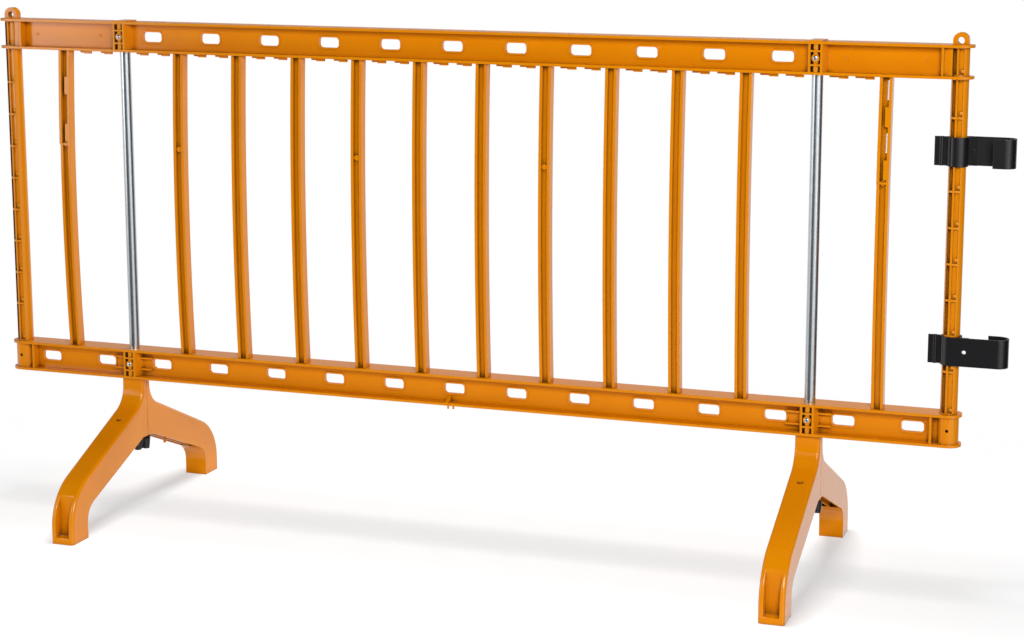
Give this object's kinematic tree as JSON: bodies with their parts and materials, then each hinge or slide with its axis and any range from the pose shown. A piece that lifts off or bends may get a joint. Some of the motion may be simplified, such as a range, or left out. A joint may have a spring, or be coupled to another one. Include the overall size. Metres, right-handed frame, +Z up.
{
  "type": "pedestrian barrier panel",
  "caption": "Moulded plastic barrier panel with upright bars between two rails, held on steel tubes in swivelling feet, with hook clips on one end post for joining panels.",
  "frame": {"origin": "on the ground under the middle of the whole part, hooks included, and midway between the pads", "axes": "+X along the panel towards the end with the hook clips, +Y towards the panel's back, +Z up"},
  "size_m": [2.0797, 0.59, 1.034],
  "materials": {
    "moulded_orange": "glossy through-coloured orange plastic",
    "zinc_steel": "bright zinc-plated steel",
    "black_plastic": "satin black plastic"
  },
  "bodies": {
    "panel": {"top_rail": "moulded_orange", "bottom_rail": "moulded_orange", "left_end_post": "moulded_orange", "right_end_post": "moulded_orange", "left_ear": "moulded_orange", "right_ear": "moulded_orange", "bar_01": "moulded_orange", "bar_02": "moulded_orange", "bar_03": "moulded_orange", "bar_04": "moulded_orange", "bar_05": "moulded_orange", "bar_06": "moulded_orange", "bar_07": "moulded_orange", "bar_08": "moulded_orange", "bar_09": "moulded_orange", "bar_10": "moulded_orange", "bar_11": "moulded_orange", "bar_12": "moulded_orange", "left_tube": "zinc_steel", "right_tube": "zinc_steel", "tube_screws": "zinc_steel", "left_insert": "zinc_steel", "right_insert": "zinc_steel"},
    "left_foot": {"left_foot": "moulded_orange", "left_toes": "moulded_orange"},
    "right_foot": {"right_foot": "moulded_orange", "right_toes": "moulded_orange"},
    "left_knob": {"left_knob": "black_plastic", "left_stud": "zinc_steel"},
    "right_knob": {"right_knob": "black_plastic", "right_stud": "zinc_steel"},
    "upper_clip": {"upper_clip": "black_plastic"},
    "lower_clip": {"lower_clip": "black_plastic"}
  },
  "joints": [
    {"name": "left_foot_swivel", "type": "hinge", "parent": "panel", "child": "left_foot", "pos_m": [-0.7549, 0, 0.165], "axis": [0, 0, 1], "range_deg": [-90, 90]},
    {"name": "right_foot_swivel", "type": "hinge", "parent": "panel", "child": "right_foot", "pos_m": [0.6751, 0, 0.165], "axis": [0, 0, 1], "range_deg": [-90, 90]},
    {"name": "left_knob_turn", "type": "hinge", "parent": "panel", "child": "left_knob", "pos_m": [-0.7549, 0, 0.14], "axis": [0, 0, 1], "continuous": true},
    {"name": "right_knob_turn", "type": "hinge", "parent": "panel", "child": "right_knob", "pos_m": [0.6751, 0, 0.14], "axis": [0, 0, 1], "continuous": true},
    {"name": "upper_clip_swing", "type": "hinge", "parent": "panel", "child": "upper_clip", "pos_m": [0.9351, 0, 0.82], "axis": [0, 0, 1], "continuous": true},
    {"name": "lower_clip_swing", "type": "hinge", "parent": "panel", "child": "lower_clip", "pos_m": [0.9351, 0, 0.455], "axis": [0, 0, 1], "continuous": true}
  ]
}
